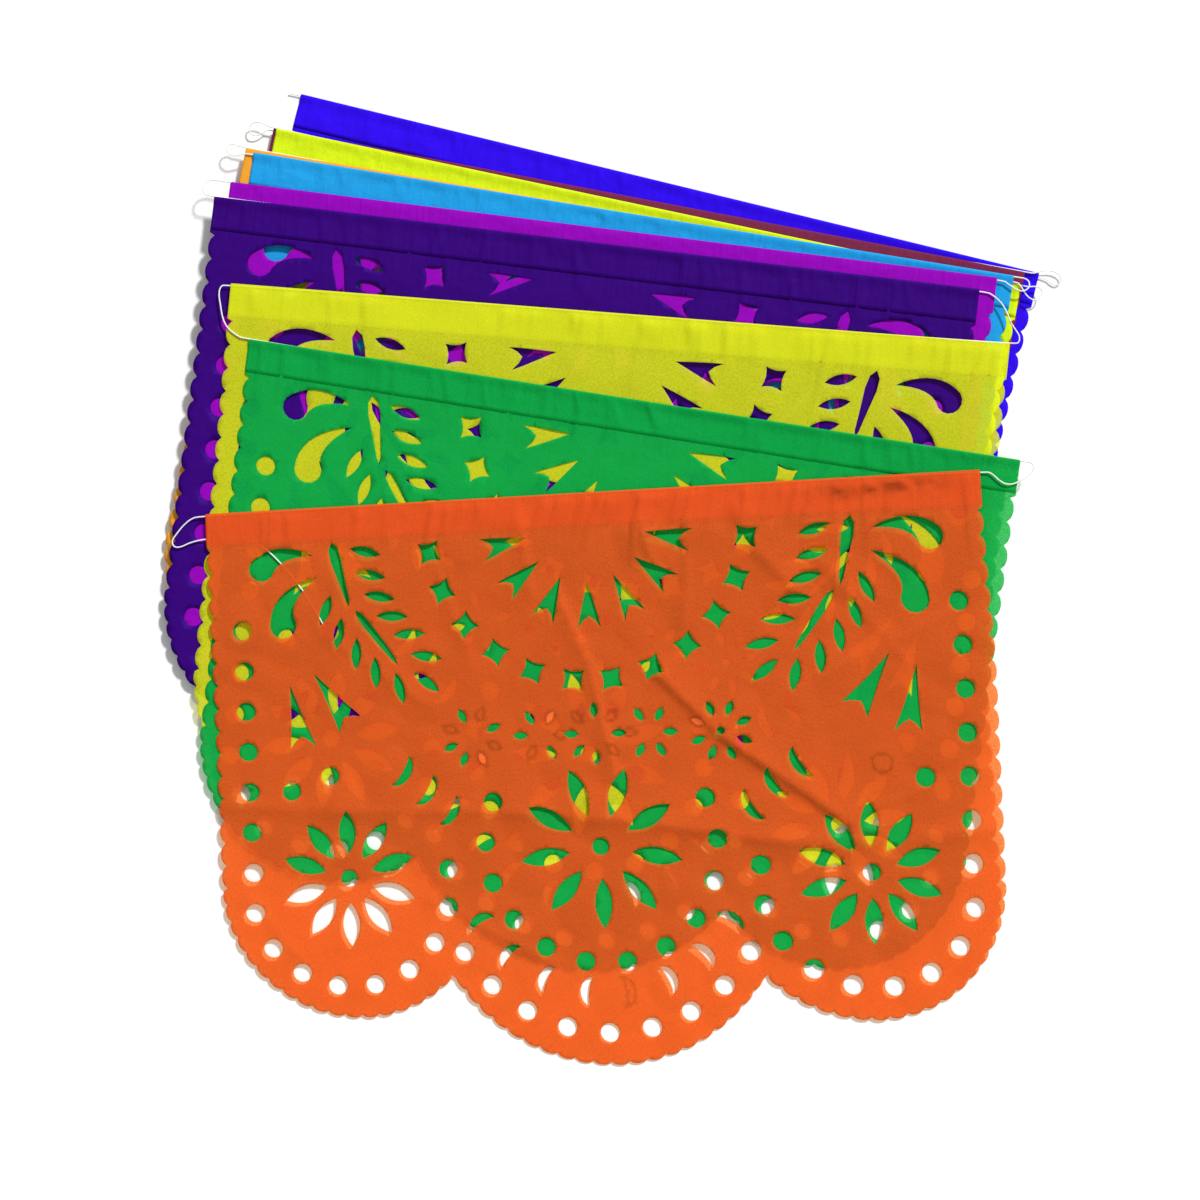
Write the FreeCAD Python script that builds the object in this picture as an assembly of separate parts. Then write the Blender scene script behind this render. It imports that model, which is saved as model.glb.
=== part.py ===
"""A papel picado banner, folded up zigzag and laid flat.

Ten tissue sheets hang on one string. Each sheet is folded over the string and glued to itself
as a hem, and a cut pattern fills the rest of it, down to a scalloped foot of three lobes. Every
second sheet lies face down, so that neighbouring hems face each other. The sheets are modelled
thicker than tissue. Millimetres, with X and Y on the floor and Z up. The origin is on the floor,
under the middle of the lowest sheet's hem.
"""
import FreeCAD, Part
import os
from math import atan, atan2, cos, degrees, pi, radians, sin, sqrt, tan

V = FreeCAD.Vector

# Paper and string
SHEET_WIDTH = 450.0
SHEET_DROP = 332.0
PAPER = 0.2
STRING_DIAMETER = 0.8
STRING_SIDES = 4
HEM_DEPTH = 19.0
HEM_CLEARANCE = 0.1

# Scalloped outline
SIDE_SCALLOPS = 15
SIDE_PITCH = 13.667
SIDE_DEPTH = 3.0
FOOT_PITCH = 10.5
FOOT_DEPTH = 1.8
SIDE_LOBE_RADIUS = 78.5
MIDDLE_LOBE_RADIUS = 105.0
FINE_SCALLOP = (0.28, 0.72)
PLAIN_SCALLOP = (0.5,)
PLAIN_LOBE_POINTS = 6

# Cut pattern: dots
DOT_RADIUS = 5.5
CENTRE_DOT_RADIUS = 5.0
BORDER = 18.6
BORDER_PITCH = 24.4
SIDE_RING_STEP = 21.6
FOOT_ROW_RISE = 10.0
FOOT_ROW_STEP = 14.75
MIDDLE_RING_RADIUS = 67.3
MIDDLE_RING_STEP = 20.7

# Cut pattern: the arch under the hem
ARCH_V = 17.3
SQUARE_ARCH_RADIUS = 92.6
SQUARE_STEP = 15.0
SQUARE_SIZE = 11.5
DART_ARCH_RADIUS = 50.0
DART_STEP = 25.8
DART_LENGTH = 27.0
DART_WIDTH = 13.5

# Cut pattern: sprays, flowers and crescents
LEAF_LENGTH = 19.0
LEAF_WIDTH = 6.0
SIDE_FLOWER_INSET = 75.7
SIDE_FLOWER_RISE = 4.7
SIDE_FLOWER_RING = 27.5
SIDE_PETAL_LENGTH = 26.0
MIDDLE_FLOWER_RISE = 20.6
MIDDLE_FLOWER_RING = 33.0
MIDDLE_PETAL_LENGTH = 29.0
PETAL_WIDTH = 10.0
CRESCENT_DEPTH = 7.0
UPPER_CRESCENT_LENGTH = 20.0
LOWER_CRESCENT_LENGTH = 17.0
CRESCENT_RING = 84.0
CRESCENT_STEP = 17.2
FLORET_V = 141.0
FLORET_LENGTH = 9.2
FLORET_WIDTH = 4.6
FLORET_RINGS = {6: 11.8, 8: 13.8}
# Each small floret: its u, how many petals it has, the first one's angle from +u towards the hem,
# and the petals that stayed in when the pattern was punched.
FLORETS = [
    (-72.0, 8, 22.5, (1, 3, 7)),
    (-31.7, 6, 0, (0, 1, 4)),
    (0, 8, 0, (1, 3, 7)),
    (31.7, 6, 0, (3,)),
    (72.0, 8, 22.5, (3,)),
]

# How the sheets lie on each other: the gap between two backs, the distance from the foot of the
# pile to the hems over which facing hems spread the sheets, and where that foot is.
LAY_GAP = 0.1
FAN_LENGTH = 456.0
FOOT_Y = -512.0

# Each sheet from the top of the pile down: its name, the middle of its hem (x, y), the slopes of
# its hem and of its foot and the lean of its middle line in degrees, and how much of the full
# width its gathered hem keeps.
SHEETS = [
    ("sheet_01_orange", -45.0, -179.0, 3.3, -0.6, 2.6, 0.994),
    ("sheet_02_green", -20.5, -125.8, -8.9, -10.0, -7.4, 1.0),
    ("sheet_03_yellow", -28.9, -76.2, -4.4, -6.0, -5.7, 1.0),
    ("sheet_04_purple", -42.4, -35.5, -6.9, -7.0, -6.9, 0.987),
    ("sheet_05_magenta", -32.6, -27.7, -7.1, -7.3, -7.3, 0.99),
    ("sheet_06_blue", -21.1, -18.5, -9.2, -9.2, -9.2, 0.988),
    ("sheet_07_amber", -24.2, -17.9, -9.7, -10.5, -11.6, 0.996),
    ("sheet_08_lime", -12.4, -13.8, -11.9, -11.0, -11.0, 0.978),
    ("sheet_09_maroon", -12.1, -9.8, -10.8, -11.0, -11.0, 0.984),
    ("sheet_10_ultramarine", 0.0, 0.0, -13.65, -12.0, -13.6, 0.978),
]
# The top sheet has the full pattern, the next few its bold cut-outs, and the rest the rays of its
# arch. The feet that lie hidden under other sheets have plain lobes.
FULL_SHEETS = 1
SCALLOPED_FEET = 2
BOLD_SHEETS = 4

# The string outside the hems. Each link between two hems is a list of points measured from the
# first hem's end (x, y), each with how far it has come down to the next hem, from 0 to 1.
HEM_LEAD = 3.0
LINKS = [
    [(7.6, -2.2, 0), (11, -5.6, 0), (15.1, -8, 0), (19.8, -7.7, 0.1), (24.8, -5, 0.2), (29, -2.6, 0.5),
     (31.4, 1.2, 0.7), (30.2, 4.8, 0.9)],
    [(-6.8, 2.6, 0), (-10.8, 5.4, 0), (-14, 9.6, 0.15), (-15.6, 14.8, 0.35), (-16.4, 20.6, 0.55),
     (-17.4, 26, 0.8), (-16.6, 30.6, 1)],
    [(5.6, 1.6, 0), (5.6, 5.2, 0), (3.2, 8.6, 0), (0.4, 13, 0.2), (-1.6, 18.6, 0.4), (-4.6, 24, 0.6),
     (-9.4, 28.4, 0.9)],
    [(-5.8, 2.4, 0), (-6.8, 6.2, 0.3), (-4.4, 9.6, 0.7), (0, 10.6, 1)],
    [(6.4, -3.2, 0), (10.8, -6.2, 0), (15, -7.6, 0.1), (18.8, -5.2, 0.4), (18.8, -1.4, 0.7), (16, 0.4, 1)],
    [(-7.4, -0.8, 0), (-11.8, -1.6, 0), (-15.6, 0.6, 0.3), (-15.6, 4.6, 0.7), (-12, 6.2, 1)],
    [(5.8, -3.2, 0), (7.6, -6.6, 0), (10.2, -10.2, 0), (14.2, -12, 0.1), (18, -10.4, 0.3), (19, -6.6, 0.6),
     (16.6, -3.8, 0.9), (12.8, -3.6, 1)],
    [(-6.6, 2.9, 0), (-10.8, 4.6, 0), (-15, 3.2, 0.3), (-16, -0.4, 0.6), (-14.4, -3.4, 0.9), (-10.6, -3.4, 1),
     (-7.2, -1.2, 1)],
    [(7, 0.2, 0), (12, 1.6, 0), (17.4, 1, 0.2), (21.4, -2.2, 0.5), (20.6, -6.8, 0.8), (16, -7, 1)],
]
# The string's last end, outside the lowest hem, from that hem's left end.
LAST_END = (-7, 1)
# The string's loose end, which lies between the two top sheets, from the top hem's left end.
TAIL = [(-8.6, -2.2), (-13, -6), (-16.6, -10.6), (-19.6, -14.6), (-18.4, -18.4), (-14.2, -18.4),
        (-9.6, -16), (-4, -14.4), (3, -13.4), (12, -13), (21, -13.2), (29.6, -15.6), (37.2, -21.4),
        (44.4, -28.8), (51.4, -37), (57.6, -45.6), (63.2, -54.8), (68.2, -64)]

# The outline and the pattern are drawn on a sheet of 450 by 332, and stretch with the real one.
ACROSS = SHEET_WIDTH / 450
DOWN = SHEET_DROP / 332
HALF_WIDTH = SHEET_WIDTH / ACROSS / 2
FOOT_V = SHEET_DROP / DOWN
TUNNEL = STRING_DIAMETER + 2 * HEM_CLEARANCE
HEM_RISE = TUNNEL + PAPER
LOBE_U = HALF_WIDTH - SIDE_LOBE_RADIUS
LOBE_V = HEM_DEPTH + SIDE_DEPTH + SIDE_SCALLOPS * SIDE_PITCH
MIDDLE_LOBE_V = FOOT_V - MIDDLE_LOBE_RADIUS
FLOWER_U = HALF_WIDTH - SIDE_FLOWER_INSET
FLOWER_V = LOBE_V - SIDE_FLOWER_RISE
MIDDLE_FLOWER_V = LOBE_V - MIDDLE_FLOWER_RISE
LAY_PITCH = PAPER + LAY_GAP
FAN_SLOPE = 2 * HEM_RISE / FAN_LENGTH


# Flat shapes, as drawn, in a sheet's own u (across, from its middle) and v (down, from its fold)

def turned(points, u, v, angle=0):
    """Points about (0, 0), turned clockwise on the page and moved to (u, v)."""
    c = cos(radians(angle))
    s = sin(radians(angle))
    return [(u + x * c - y * s, v + x * s + y * c) for x, y in points]


def mirrored(points):
    return [(-u, v) for u, v in points]


def on_ring(u, v, radius, angle):
    """A point on a ring about (u, v), with the angle from straight down towards +u."""
    return u + radius * sin(radians(angle)), v + radius * cos(radians(angle))


def dot(u, v, radius=DOT_RADIUS, sides=6):
    return [on_ring(u, v, radius, 360.0 * i / sides) for i in range(sides)]


def leaf(u, v, angle, length=LEAF_LENGTH, width=LEAF_WIDTH):
    """A pointed oval that lies along x before it is turned."""
    half = length / 2
    side = width / 2
    upper = [(-half, 0), (-half / 3, -side), (half / 3, -side)]
    return turned(upper + [(-x, -y) for x, y in upper], u, v, angle)


def stem(u, v, angle, length, thick, thin):
    half = length / 2
    return turned([(-half, -thick / 2), (half, -thin / 2), (half, thin / 2), (-half, thick / 2)], u, v, angle)


def square(u, v, angle):
    corner = SQUARE_SIZE / 2
    return turned([(-corner, -corner), (corner, -corner), (corner, corner), (-corner, corner)], u, v, angle)


def dart(u, v, angle):
    """A fish-tail dart that points up before it is turned."""
    tail = DART_LENGTH * 0.45
    side = DART_WIDTH / 2
    return turned([(0, tail - DART_LENGTH), (side, tail), (0, tail / 2), (-side, tail)], u, v, angle)


def crescent(u, v, angle, length):
    """A crescent that lies along x and bulges down before it is turned."""
    half = length / 2
    deep = CRESCENT_DEPTH / 2
    points = [(-half, -deep), (0, -deep / 3), (half, -deep), (half / 2, deep), (-half / 2, deep)]
    return turned(points, u, v, angle)


def paisley(head, bend, tip, radius, steps=3):
    """A drop with a round head, whose middle line bends on its way to the tip."""
    left = []
    right = []
    for i in range(steps):
        t = i / steps
        x = (1 - t) ** 2 * head[0] + 2 * t * (1 - t) * bend[0] + t * t * tip[0]
        y = (1 - t) ** 2 * head[1] + 2 * t * (1 - t) * bend[1] + t * t * tip[1]
        dx = (1 - t) * (bend[0] - head[0]) + t * (tip[0] - bend[0])
        dy = (1 - t) * (bend[1] - head[1]) + t * (tip[1] - bend[1])
        side = radius * (1 - t) ** 0.8 / sqrt(dx * dx + dy * dy)
        left.append((x + dy * side, y - dx * side))
        right.append((x - dy * side, y + dx * side))
    away = atan2(head[1] - bend[1], head[0] - bend[0])
    cap = [(head[0] + radius * cos(away + k), head[1] + radius * sin(away + k)) for k in (-pi / 6, pi / 6)]
    return left + [tip] + right[::-1] + cap


def flower(u, v, petals, ring, length):
    """Petals on a ring, each pointing away from its middle, the first one straight down."""
    shapes = []
    for i in range(petals):
        angle = 360.0 * i / petals
        x, y = on_ring(u, v, ring, angle)
        shapes.append(leaf(x, y, 90 - angle, length, PETAL_WIDTH))
    return shapes + [dot(u, v, CENTRE_DOT_RADIUS)]


# The cut pattern. These give its right half, which the left half mirrors.

def spray():
    """A fern of two stems with a row of leaves on each side. Leaves are inward of the edge, v, angle."""
    edge = HALF_WIDTH
    shapes = [stem(edge - 79.1, 40.7, 103, 40.0, 8.0, 5.0), stem(edge - 99.2, 79.4, 125.4, 41.5, 5.0, 4.2)]
    middle_row = [(94.9, 27.9, -15), (97.2, 41.9, -13), (102.1, 55.1, -12.5), (109.1, 67.1, -4),
                  (118.7, 78.3, 1), (128.3, 92.0, -11), (127.6, 107.2, -39)]
    side_row = [(69.2, 61.6, 68), (76.7, 75.8, 77), (86.5, 88.5, 85), (97.5, 100.3, 90), (111.5, 110.2, 102)]
    for inward, v, angle in middle_row + side_row:
        shapes.append(leaf(edge - inward, v, angle))
    return shapes


def paisleys():
    edge = HALF_WIDTH
    return [
        paisley((edge - 31.5, 34.8), (edge - 40.8, 22.9), (edge - 63.1, 28.5), 7.5),
        paisley((edge - 43.0, 69.2), (edge - 40.3, 52.3), (edge - 65.1, 41.3), 8.0),
    ]


def barbs():
    """The two large notched darts beside the fern."""
    edge = HALF_WIDTH
    return [
        turned([(4.6, -22), (5.9, 15.5), (-1, 9), (-9.7, 15.5)], edge - 50.0, 127.5),
        turned([(12, -18), (-2, 18.5), (-5, 9), (-15.5, 9)], edge - 72.1, 117.0),
    ]


def arch_dart(i):
    """One ray of the half sun under the hem, counted from the middle one."""
    u, v = on_ring(0, ARCH_V, DART_ARCH_RADIUS, DART_STEP * i)
    return dart(u, v, -DART_STEP * i)


def arch_squares():
    shapes = []
    for i in range(6):
        angle = SQUARE_STEP * (i + 0.46)
        u, v = on_ring(0, ARCH_V, SQUARE_ARCH_RADIUS, angle)
        shapes.append(square(u, v, -angle))
    return shapes


def side_dots():
    """A column of dots down the side, which runs on round the side lobe."""
    shapes = [dot(HALF_WIDTH - BORDER, LOBE_V + 15.1 - BORDER_PITCH * i) for i in range(8)]
    for i in range(8):
        shapes.append(dot(*on_ring(FLOWER_U, LOBE_V, SIDE_LOBE_RADIUS - BORDER, 52.5 - SIDE_RING_STEP * i)))
    return shapes + [dot(HALF_WIDTH - 43.5, LOBE_V - 57.9)]


def middle_dots():
    """The row of dots along the middle lobe and the ring round the middle flower."""
    row_v = LOBE_V - FOOT_ROW_RISE
    row_radius = FOOT_V - BORDER - row_v
    shapes = [dot(*on_ring(0, row_v, row_radius, FOOT_ROW_STEP * i)) for i in range(1, 5)]
    for i in range(6):
        shapes.append(dot(*on_ring(0, MIDDLE_FLOWER_V, MIDDLE_RING_RADIUS, MIDDLE_RING_STEP * (i + 0.5))))
    return shapes


def upper_crescents():
    shapes = []
    for u, rise in [(112.9, 66.2), (99.1, 54.7), (86.0, 42.2)]:
        shapes.append(crescent(u, LOBE_V - rise, 58, UPPER_CRESCENT_LENGTH))
    return shapes


def lower_crescent(i):
    angle = CRESCENT_STEP * (i + 0.5)
    u, v = on_ring(0, MIDDLE_FLOWER_V, CRESCENT_RING, angle)
    return crescent(u, v, -90 - angle, LOWER_CRESCENT_LENGTH)


def florets():
    half = FLORET_LENGTH / 2
    side = FLORET_WIDTH / 2
    petal = [(-half, 0), (0, -side), (half, 0), (0, side)]
    shapes = [dot(FLORETS[-1][0], FLORET_V, side)]
    for u, petals, first, stayed_in in FLORETS:
        for i in range(petals):
            if i not in stayed_in:
                angle = first + 360.0 * i / petals
                x, y = on_ring(u, FLORET_V, FLORET_RINGS[petals], 90 + angle)
                shapes.append(turned(petal, x, y, -angle))
    return shapes


def full_pattern():
    """Every cut-out. A dot and a crescent are cut on the left only, as the right ones stayed in."""
    half = spray() + paisleys() + barbs() + [arch_dart(i) for i in (1, 2, 3)] + arch_squares()
    half += side_dots() + middle_dots() + upper_crescents() + [lower_crescent(i) for i in (1, 2, 3)]
    half += flower(FLOWER_U, FLOWER_V, 10, SIDE_FLOWER_RING, SIDE_PETAL_LENGTH)
    left_only = [mirrored(lower_crescent(0)), mirrored(dot(HALF_WIDTH - 67.1, LOBE_V - 66.1))]
    middle = flower(0, MIDDLE_FLOWER_V, 9, MIDDLE_FLOWER_RING, MIDDLE_PETAL_LENGTH)
    middle += [arch_dart(0), dot(0, FOOT_V - BORDER)]
    return half + [mirrored(points) for points in half] + left_only + middle + florets()


def arch_rays():
    return [arch_dart(i) for i in range(-3, 4)]


def bold_pattern():
    half = paisleys()
    return half + [mirrored(points) for points in half] + arch_rays()


# The scalloped outline

def scallops(edge_at, count, crests):
    """The points after the first valley. edge_at(share, cut_in) is a point of the edge."""
    points = []
    for i in range(count):
        for crest in crests:
            points.append(edge_at((i + crest) / count, 0))
        points.append(edge_at((i + 1) / count, 1))
    return points


def outline(crests, scalloped_foot):
    """The sheet's edge, from its right hem corner down, round the three lobes and up again."""
    lower = LOBE_V - MIDDLE_LOBE_V
    apart = sqrt(LOBE_U ** 2 + lower ** 2)
    along = (apart ** 2 + MIDDLE_LOBE_RADIUS ** 2 - SIDE_LOBE_RADIUS ** 2) / (2 * apart)
    beside = sqrt(MIDDLE_LOBE_RADIUS ** 2 - along ** 2)
    notch_u = (along * LOBE_U - beside * lower) / apart
    notch_v = MIDDLE_LOBE_V + (along * lower + beside * LOBE_U) / apart
    side_end = atan2(notch_v - LOBE_V, notch_u - LOBE_U)
    middle_start = atan2(notch_v - MIDDLE_LOBE_V, notch_u)
    first_valley = HEM_DEPTH + SIDE_DEPTH

    def side(share, cut_in):
        return HALF_WIDTH - SIDE_DEPTH * cut_in, first_valley + (LOBE_V - first_valley) * share

    def side_lobe(share, cut_in):
        r = SIDE_LOBE_RADIUS - FOOT_DEPTH * cut_in
        return LOBE_U + r * cos(side_end * share), LOBE_V + r * sin(side_end * share)

    def middle_lobe(share, cut_in):
        r = MIDDLE_LOBE_RADIUS - FOOT_DEPTH * cut_in
        angle = middle_start + (pi / 2 - middle_start) * share
        return r * cos(angle), MIDDLE_LOBE_V + r * sin(angle)

    half = [(HALF_WIDTH, 0), (HALF_WIDTH, HEM_DEPTH + SIDE_DEPTH / 2), side(0, 1)]
    half += scallops(side, SIDE_SCALLOPS, crests)
    if scalloped_foot:
        lobe_count = round(SIDE_LOBE_RADIUS * side_end / FOOT_PITCH)
        middle_count = round(MIDDLE_LOBE_RADIUS * (pi / 2 - middle_start) / FOOT_PITCH)
        half += scallops(side_lobe, lobe_count, crests) + scallops(middle_lobe, middle_count, crests)
    else:
        half += [side_lobe(i / PLAIN_LOBE_POINTS, 0) for i in range(1, PLAIN_LOBE_POINTS + 1)]
        half += [middle_lobe(i / 3, 0) for i in range(1, 4)]
    return half + mirrored(half[-2::-1])


# Sheets

def place(sheet, u, v):
    """Where a drawn point of a sheet lies on the floor. The sheet fans a little from hem to foot."""
    name, x, y, hem, foot, lean, keep = sheet
    u = u * ACROSS
    top_x = x + u * keep * cos(radians(hem))
    top_y = y + u * keep * sin(radians(hem))
    foot_x = x + SHEET_DROP * sin(radians(lean)) + u * cos(radians(foot))
    foot_y = y - SHEET_DROP * cos(radians(lean)) + u * sin(radians(foot))
    share = v / FOOT_V
    return V(top_x + (foot_x - top_x) * share, top_y + (foot_y - top_y) * share, 0)


def closed_wire(points):
    return Part.makePolygon(points + points[:1])


def face_down(index):
    return index % 2 == 1


def lie(index):
    """The placement that lifts a flat sheet to its slope and height in the pile."""
    beneath = len(SHEETS) - 1 - index
    facing_pairs = (beneath + 1) // 2
    tilt = FreeCAD.Rotation(V(1, 0, 0), degrees(atan(facing_pairs * FAN_SLOPE)))
    return FreeCAD.Placement(V(0, 0, beneath * LAY_PITCH), tilt, V(0, FOOT_Y, 0))


def hem_directions(sheet):
    hem = radians(sheet[3])
    return V(cos(hem), sin(hem), 0), V(sin(hem), -cos(hem), 0)


def hem_solid(sheet, index):
    """The fold round the string and the flap that is glued to the sheet."""
    outer = [(-PAPER, 0), (-PAPER, PAPER + HEM_RISE), (TUNNEL + PAPER, PAPER + HEM_RISE),
             (TUNNEL + PAPER, 2 * PAPER), (HEM_DEPTH, 2 * PAPER), (HEM_DEPTH, 0)]
    tunnel = [(0, PAPER), (0, PAPER + TUNNEL), (TUNNEL, PAPER + TUNNEL), (TUNNEL, PAPER)]
    along, down = hem_directions(sheet)
    start = place(sheet, -HALF_WIDTH, 0) - along * 5
    rings = []
    for section in (outer, tunnel):
        heights = [(n, z if face_down(index) else PAPER - z) for n, z in section]
        rings.append(closed_wire([start + down * n + V(0, 0, z) for n, z in heights]))
    strip = Part.makeFace(rings, "Part::FaceMakerBullseye").extrude(along * (SHEET_WIDTH + 10))
    corners = [(-HALF_WIDTH, -HEM_DEPTH), (HALF_WIDTH, -HEM_DEPTH), (HALF_WIDTH, 2 * HEM_DEPTH),
               (-HALF_WIDTH, 2 * HEM_DEPTH)]
    base = closed_wire([place(sheet, u, v) - V(0, 0, 10) for u, v in corners])
    return strip.common(Part.Face(base).extrude(V(0, 0, 20)))


def sheet_solid(index):
    sheet = SHEETS[index]
    crests = FINE_SCALLOP if index < FULL_SHEETS else PLAIN_SCALLOP
    shapes = [outline(crests, index < SCALLOPED_FEET)]
    if index < FULL_SHEETS:
        shapes += full_pattern()
    elif index < BOLD_SHEETS:
        shapes += bold_pattern()
    else:
        shapes += arch_rays()
    wires = [closed_wire([place(sheet, u, v) for u, v in points]) for points in shapes]
    plate = Part.makeFace(wires, "Part::FaceMakerBullseye").extrude(V(0, 0, PAPER))
    solid = plate.fuse(hem_solid(sheet, index)).removeSplitter()
    solid.Placement = lie(index)
    return solid


# String

def hem_run(index):
    """The string's straight run through a hem: a lead, the hem's two ends and a lead."""
    sheet = SHEETS[index]
    along, down = hem_directions(sheet)
    height = PAPER + TUNNEL / 2 if face_down(index) else -TUNNEL / 2
    inset = down * (TUNNEL / 2) + V(0, 0, height)
    left = place(sheet, -HALF_WIDTH, 0) + inset
    right = place(sheet, HALF_WIDTH, 0) + inset
    run = [lie(index).multVec(p) for p in (left - along * HEM_LEAD, left, right, right + along * HEM_LEAD)]
    return run[::-1] if face_down(index) else run


def link_points(index):
    """The string between the end of one hem and the start of the next one below."""
    end = hem_run(index)[2]
    fall = hem_run(index + 1)[1].z - end.z
    return [end + V(x, y, fall * share) for x, y, share in LINKS[index]]


def tail_points():
    """The loose end, half way between the two top sheets."""
    end = hem_run(0)[1]
    points = []
    for x, y in TAIL:
        over = V(end.x + x, end.y + y, 0)
        upper = lie(0).multVec(over).z
        lower = lie(1).multVec(over).z + PAPER
        points.append(V(over.x, over.y, (upper + lower) / 2))
    return points


def string_route():
    route = tail_points()[::-1]
    for index in range(len(SHEETS)):
        run = hem_run(index)
        route += [run[0], run[3]]
        if index < len(LINKS):
            route += link_points(index)
    return route + [hem_run(len(SHEETS) - 1)[2] + V(*LAST_END, 0)]


def rounded_path(route):
    """Straight runs joined by arcs, each as large as its two runs allow."""
    edges = []
    radii = []
    turns = []
    start = route[0]
    for before, corner, after in zip(route, route[1:], route[2:]):
        into = corner - before
        away = after - corner
        reach = 0.45 * min(into.Length, away.Length)
        turn = into.getAngle(away)
        radius = reach / tan(turn / 2)
        into.normalize()
        away.normalize()
        first = corner - into * reach
        last = corner + away * reach
        inward = away - into
        inward.normalize()
        middle = corner + inward * (radius / cos(turn / 2) - radius)
        edges.append(Part.makeLine(start, first))
        edges.append(Part.Arc(first, middle, last).toShape())
        radii.append(radius)
        turns.append(degrees(turn))
        start = last
    edges.append(Part.makeLine(start, route[-1]))
    print("string: smallest radius", round(min(radii), 2), "largest turn", round(max(turns)))
    return Part.Wire(edges)


def string_solid():
    route = string_route()
    path = rounded_path(route)
    ahead = route[1] - route[0]
    ahead.normalize()
    side = ahead.cross(V(0, 0, 1))
    side.normalize()
    up = side.cross(ahead)
    size = STRING_DIAMETER / 2
    turns = [2 * pi * k / STRING_SIDES for k in range(STRING_SIDES)]
    ring = closed_wire([route[0] + side * (size * cos(a)) + up * (size * sin(a)) for a in turns])
    tube = path.makePipeShell([ring], True, False)
    swept = Part.Face(ring).Area * path.Length
    print("string: length", round(path.Length), "volume over swept section", round(tube.Volume / swept, 3))
    return tube


def main():
    os.makedirs("parts", exist_ok=True)
    for index, sheet in enumerate(SHEETS):
        sheet_solid(index).exportStep("parts/" + sheet[0] + ".step")
    string_solid().exportStep("parts/string.step")


main()
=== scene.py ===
"""The looks of a papel picado banner: ten punched tissue sheets on one string, in a flat pile."""
from math import atan2, cos, pi, radians, sin, sqrt

import bpy
import numpy as np
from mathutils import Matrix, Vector
from mathutils.geometry import delaunay_2d_cdt


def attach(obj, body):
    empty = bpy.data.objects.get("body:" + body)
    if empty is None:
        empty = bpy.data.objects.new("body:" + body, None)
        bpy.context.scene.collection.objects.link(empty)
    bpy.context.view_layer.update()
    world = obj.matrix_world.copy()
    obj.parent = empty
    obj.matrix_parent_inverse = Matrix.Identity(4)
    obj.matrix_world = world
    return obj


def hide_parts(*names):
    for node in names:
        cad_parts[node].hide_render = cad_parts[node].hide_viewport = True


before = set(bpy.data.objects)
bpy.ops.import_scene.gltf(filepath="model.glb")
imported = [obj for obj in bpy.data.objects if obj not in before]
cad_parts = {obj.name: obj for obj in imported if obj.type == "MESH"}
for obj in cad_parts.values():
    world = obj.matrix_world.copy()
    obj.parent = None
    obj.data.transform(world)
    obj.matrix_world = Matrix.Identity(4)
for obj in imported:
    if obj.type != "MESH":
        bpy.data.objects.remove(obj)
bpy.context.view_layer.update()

MM = 0.001

# Sizes of the sheets, in millimetres, as in the part
SHEET_WIDTH = 450.0
SHEET_DROP = 332.0
PAPER = 0.2
STRING_DIAMETER = 0.8
HEM_DEPTH = 19.0
SIDE_PITCH = 13.8
SIDE_DEPTH = 3.0
FOOT_PITCH = 10.5
FOOT_DEPTH = 1.8
SIDE_LOBE_RADIUS = 78.5
MIDDLE_LOBE_RADIUS = 105.0
LAY_GAP = 0.1
FAN_LENGTH = 456.0
FOOT_Y = -512.0
TUNNEL = 1.0
HALF_WIDTH = SHEET_WIDTH / 2
LOBE_U = HALF_WIDTH - SIDE_LOBE_RADIUS
LOBE_V = SHEET_DROP - MIDDLE_LOBE_RADIUS
FLOWER_U = HALF_WIDTH - 75.7
FLOWER_V = LOBE_V - 4.7
MIDDLE_FLOWER_V = LOBE_V - 20.6
BORDER = 18.6
FAN_SLOPE = 2 * (TUNNEL + PAPER) / FAN_LENGTH

# What the tissue is like
TISSUE = 0.07
FOLD_RADIUS = 0.65
FLAP_RISE = 0.18
GATHER_REACH = 58.0

# The top sheet and the third sink onto the one below: by what share of the gap, from where to where
# under their hem, and how much further down at the left of the top one, where the string's tail lies
SINK = 0.97
SINK_FROM = 24.0
SINK_TO = 85.0
TAIL_ROOM = 45.0
TAIL_FROM = 135.0
TAIL_TO = 185.0

# The photograph's frame: its scale, and the pixel that lies over the origin
PHOTO_SIDE = 1200
PIXEL = 0.577
ORIGIN_PIXEL = (670.5, 182.0)

# Light and floor
SKY_STRENGTH = 0.42
SUN_STRENGTH = 3.65
SUN_SIZE = 7
SUN_FROM = (0.55, 0.80, 0.78)
FLOOR_SIDE = 3.0
FLOOR_Z = -0.0004
FLOOR_GREY = 0.97

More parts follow.
